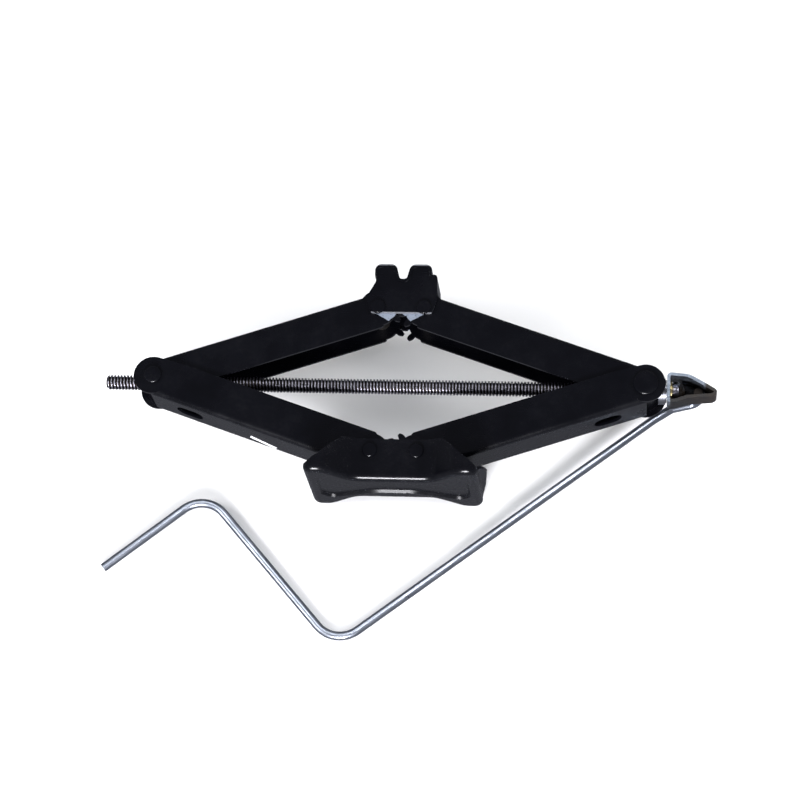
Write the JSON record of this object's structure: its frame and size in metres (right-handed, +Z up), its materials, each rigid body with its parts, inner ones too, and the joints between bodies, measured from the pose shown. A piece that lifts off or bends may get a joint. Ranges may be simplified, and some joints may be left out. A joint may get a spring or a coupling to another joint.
{
  "type": "scissor car jack",
  "caption": "Scissor car jack lying on its side, with notched lifting saddle, pressed tray foot, lead screw, and folding crank rod hooked in the screw eye.",
  "frame": {"origin": "centre of the foot in the plane of its sole, on the mid-plane of the arms", "axes": "+X along the lead screw toward the crank eye, +Y in the lifting direction from the foot to the saddle, +Z up from the floor the jack lies on"},
  "size_m": [0.5596, 0.3391, 0.101],
  "materials": {
    "black_paint": "gloss black paint with worn edges",
    "rivet_paint": "black paint over formed steel heads, rubbed",
    "dull_steel": "dull, greasy",
    "greased_steel": "dark greased rolled thread with bright crests",
    "bright_steel": "bright pressed steel",
    "yellow_zinc": "yellow passivated zinc",
    "strap_steel": "bluish steel strap, greasy inside",
    "rod_zinc": "satin zinc plated rod",
    "label_paper": "plain white adhesive label"
  },
  "bodies": {
    "foot": {"base_foot": "black_paint", "base_rivets": "rivet_paint", "base_spacers": "dull_steel"},
    "lower_left": {"lower_arm_left": "black_paint", "label_sticker": "label_paper"},
    "lower_right": {"lower_arm_right": "black_paint"},
    "upper_left": {"upper_arm_left": "black_paint"},
    "upper_right": {"upper_arm_right": "black_paint"},
    "saddle": {"saddle_head": "black_paint", "saddle_rivets": "rivet_paint", "saddle_spacers": "dull_steel"},
    "nut": {"nut_trunnion": "rivet_paint", "nut_pin_caps": "rivet_paint"},
    "thrust": {"thrust_trunnion": "rivet_paint", "thrust_pin_caps": "rivet_paint", "bearing_cup": "bright_steel"},
    "screw": {"lead_screw": "greased_steel", "bearing_balls": "bright_steel", "bearing_race": "bright_steel", "zinc_washer": "yellow_zinc", "crank_eye": "strap_steel"},
    "handle": {"crank_handle": "rod_zinc"}
  },
  "joints": [
    {"name": "lift", "type": "hinge", "parent": "foot", "child": "lower_left", "pos_m": [-0.021, 0.028, 0], "axis": [0, 0, -1], "range_deg": [-14, 37]},
    {"name": "lower_right_swing", "type": "hinge", "parent": "foot", "child": "lower_right", "pos_m": [0.021, 0.028, 0], "axis": [0, 0, 1], "range_deg": [-14, 37]},
    {"name": "upper_left_swing", "type": "hinge", "parent": "lower_left", "child": "upper_left", "pos_m": [-0.22429, 0.098, 0], "axis": [0, 0, 1], "range_deg": [-28, 74]},
    {"name": "upper_right_swing", "type": "hinge", "parent": "lower_right", "child": "upper_right", "pos_m": [0.22429, 0.098, 0], "axis": [0, 0, -1], "range_deg": [-28, 74]},
    {"name": "saddle_level", "type": "hinge", "parent": "upper_left", "child": "saddle", "pos_m": [-0.021, 0.16799, 0], "axis": [0, 0, -1], "range_deg": [-14, 37]},
    {"name": "nut_level", "type": "hinge", "parent": "lower_left", "child": "nut", "pos_m": [-0.22429, 0.098, 0], "axis": [0, 0, 1], "range_deg": [-14, 37]},
    {"name": "thrust_level", "type": "hinge", "parent": "lower_right", "child": "thrust", "pos_m": [0.22429, 0.098, 0], "axis": [0, 0, -1], "range_deg": [-14, 37]},
    {"name": "screw_spin", "type": "hinge", "parent": "thrust", "child": "screw", "pos_m": [0.22429, 0.098, 0], "axis": [1, 0, 0], "continuous": true},
    {"name": "handle_swing", "type": "hinge", "parent": "screw", "child": "handle", "pos_m": [0.2715, 0.0986, 0], "axis": [0, 0, 1], "range_deg": [-14, 37]}
  ],
  "couplings": [
    {"joint": "lower_right_swing", "follows": "lift", "ratio": 1},
    {"joint": "upper_left_swing", "follows": "lift", "ratio": 2},
    {"joint": "upper_right_swing", "follows": "lift", "ratio": 2},
    {"joint": "saddle_level", "follows": "lift", "ratio": 1},
    {"joint": "nut_level", "follows": "lift", "ratio": 1},
    {"joint": "thrust_level", "follows": "lift", "ratio": 1},
    {"joint": "handle_swing", "follows": "lift", "ratio": 1}
  ]
}
